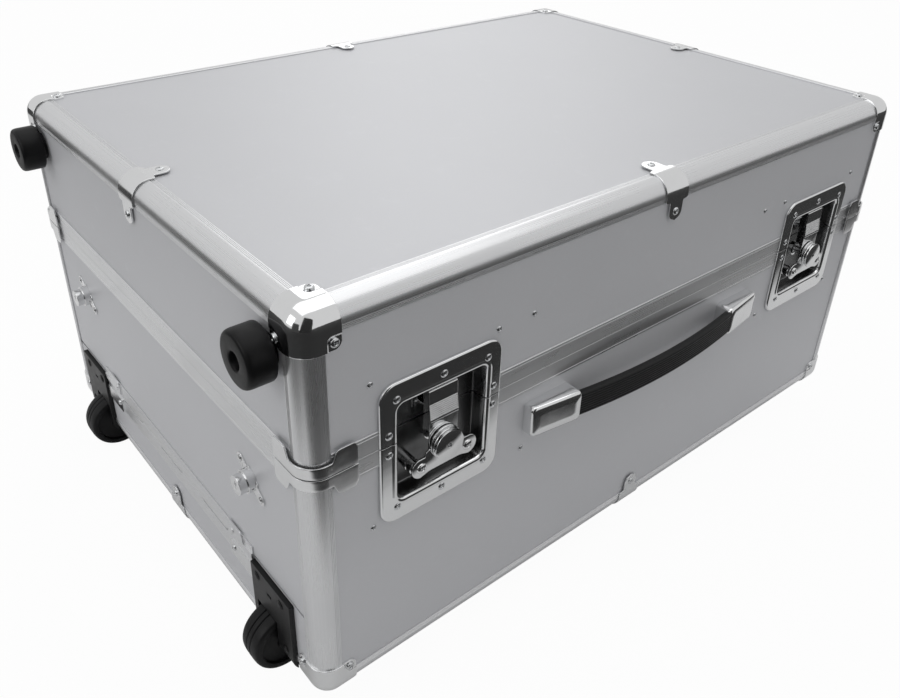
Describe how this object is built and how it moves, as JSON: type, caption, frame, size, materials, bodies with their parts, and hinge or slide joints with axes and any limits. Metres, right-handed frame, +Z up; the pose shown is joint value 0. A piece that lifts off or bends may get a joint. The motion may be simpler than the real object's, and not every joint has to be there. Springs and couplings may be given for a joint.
{
  "type": "portable dental unit",
  "caption": "Wheeled aluminium flight case that packs a dental treatment deck, with hinged lid, twist latches, carry handle, service door and pull-out tow handle",
  "frame": {"origin": "on the floor, under the middle of the whole object", "axes": "+X along the front from the wheeled end to the tow handle's end, +Y from the front with the latches to the hinged back, +Z up"},
  "size_m": [0.682, 0.5033, 0.3489],
  "materials": {
    "silver_panel": "silver laminate over plywood, satin",
    "edge_aluminium": "drawn and satin anodised, finely grooved",
    "polished_metal": "polished pressings",
    "chrome_fittings": "bright plated sheet",
    "latch_chrome": "bright plated, darker in the dishes",
    "fastener_steel": "rivet and screw heads",
    "steel_parts": "bright zinc plated",
    "black_plastic": "moulded black",
    "black_rubber": "moulded rubber",
    "wheel_tyre": "hard rubber",
    "deck_paint": "light grey powder coat",
    "white_plastic": "moulded white",
    "motor_paint": "dark grey enamel",
    "clear_bottle": "translucent blue-white",
    "amber_bottle": "translucent cream",
    "blue_plastic": "moulded blue",
    "green_plastic": "moulded green"
  },
  "bodies": {
    "case_body": {"body_wall_panels": "silver_panel", "bottom_panel": "silver_panel", "body_edge_profiles": "edge_aluminium", "body_corner_caps": "polished_metal", "body_split_band": "edge_aluminium", "sill_rail": "edge_aluminium", "body_ring_brackets": "chrome_fittings", "body_saddle_clips": "chrome_fittings", "body_rivets": "fastener_steel", "latch_dishes_lower": "latch_chrome", "wheel_housings": "black_plastic", "wheel_axles": "steel_parts", "under_feet": "black_rubber", "carry_handle_ends": "chrome_fittings", "carry_handle_grip": "black_plastic", "hinge_leaves_body": "chrome_fittings", "lid_hinge_pins": "steel_parts", "door_hinge_pin": "steel_parts", "tow_bezel": "black_plastic", "tow_outer_tubes": "steel_parts", "deck_plate": "deck_paint", "deck_brackets": "steel_parts", "service_panel": "steel_parts", "control_bezels": "white_plastic", "compressor": "motor_paint", "clean_water_bottle": "clear_bottle", "waste_bottle": "amber_bottle", "bottle_caps": "blue_plastic", "instrument_rest": "white_plastic", "hose_ports": "chrome_fittings", "pressure_gauge": "white_plastic"},
    "lid": {"lid_top_panel": "silver_panel", "lid_wall_panels": "silver_panel", "lid_edge_profiles": "edge_aluminium", "lid_corner_caps": "polished_metal", "lid_split_band": "edge_aluminium", "lid_ring_brackets": "chrome_fittings", "lid_saddle_clips": "chrome_fittings", "lid_rivets": "fastener_steel", "latch_dishes_upper": "latch_chrome", "latch_keepers": "latch_chrome", "lid_feet": "black_rubber", "hinge_leaves_lid": "chrome_fittings"},
    "left_knob": {"left_latch_knob": "latch_chrome"},
    "right_knob": {"right_latch_knob": "latch_chrome"},
    "left_hook": {"left_latch_hook": "latch_chrome"},
    "right_hook": {"right_latch_hook": "latch_chrome"},
    "front_wheel_body": {"front_wheel": "wheel_tyre"},
    "back_wheel_body": {"back_wheel": "wheel_tyre"},
    "service_door": {"door_panel": "silver_panel", "door_rail": "edge_aluminium", "lock_barrels": "chrome_fittings"},
    "front_button": {"front_lock_button": "chrome_fittings"},
    "back_button": {"back_lock_button": "chrome_fittings"},
    "tow_middle": {"tow_middle_tubes": "steel_parts"},
    "tow_top": {"tow_grip": "black_plastic"},
    "tow_release": {"tow_button": "steel_parts"},
    "air_knob": {"regulator_knob": "black_plastic"},
    "water_tap": {"water_knob": "blue_plastic"},
    "rocker": {"power_rocker": "green_plastic"}
  },
  "joints": [
    {"name": "lid_hinge", "type": "hinge", "parent": "case_body", "child": "lid", "pos_m": [0.00955, 0.24715, 0.2295], "axis": [-1, 0, 0], "range_deg": [0, 95]},
    {"name": "left_knob_turn", "type": "hinge", "parent": "case_body", "child": "left_knob", "pos_m": [-0.21545, -0.22985, 0.213], "axis": [0, -1, 0], "range_deg": [-180, 0]},
    {"name": "right_knob_turn", "type": "hinge", "parent": "case_body", "child": "right_knob", "pos_m": [0.23455, -0.22985, 0.213], "axis": [0, -1, 0], "range_deg": [-180, 0]},
    {"name": "left_hook_draw", "type": "slide", "parent": "case_body", "child": "left_hook", "axis": [0, 0.5145, -0.8575], "range_m": [0, 0.00933]},
    {"name": "right_hook_draw", "type": "slide", "parent": "case_body", "child": "right_hook", "axis": [0, 0.5145, -0.8575], "range_m": [0, 0.00933]},
    {"name": "front_wheel_spin", "type": "hinge", "parent": "case_body", "child": "front_wheel_body", "pos_m": [-0.31345, -0.15985, 0.0275], "axis": [0, 1, 0], "continuous": true},
    {"name": "back_wheel_spin", "type": "hinge", "parent": "case_body", "child": "back_wheel_body", "pos_m": [-0.31345, 0.17215, 0.0275], "axis": [0, 1, 0], "continuous": true},
    {"name": "door_hinge", "type": "hinge", "parent": "case_body", "child": "service_door", "pos_m": [-0.31785, 0.00615, 0.087], "axis": [0, -1, 0], "range_deg": [0, 92]},
    {"name": "front_lock_push", "type": "slide", "parent": "service_door", "child": "front_button", "axis": [1, 0, 0], "range_m": [0, 0.005]},
    {"name": "back_lock_push", "type": "slide", "parent": "service_door", "child": "back_button", "axis": [1, 0, 0], "range_m": [0, 0.005]},
    {"name": "tow_lower_slide", "type": "slide", "parent": "case_body", "child": "tow_middle", "axis": [1, 0, 0], "range_m": [0, 0.3]},
    {"name": "tow_upper_slide", "type": "slide", "parent": "tow_middle", "child": "tow_top", "axis": [1, 0, 0], "range_m": [0, 0.3]},
    {"name": "tow_button_press", "type": "slide", "parent": "tow_top", "child": "tow_release", "axis": [-1, 0, 0], "range_m": [0, 0.003], "stiffness_N_per_m": 600, "springref_m": -0.002},
    {"name": "air_knob_turn", "type": "hinge", "parent": "case_body", "child": "air_knob", "pos_m": [-0.02545, -0.11385, 0.1975], "axis": [0, 0, -1], "range_deg": [0, 300]},
    {"name": "water_knob_turn", "type": "hinge", "parent": "case_body", "child": "water_tap", "pos_m": [0.02955, -0.11385, 0.1975], "axis": [0, 0, -1], "range_deg": [0, 270]},
    {"name": "power_rock", "type": "hinge", "parent": "case_body", "child": "rocker", "pos_m": [0.08455, -0.11385, 0.2025], "axis": [0, 1, 0], "range_deg": [0, 16]}
  ],
  "couplings": [
    {"joint": "left_knob_turn", "follows": "left_hook_draw", "rad_per_m": -336.73},
    {"joint": "right_knob_turn", "follows": "right_hook_draw", "rad_per_m": -336.73}
  ]
}
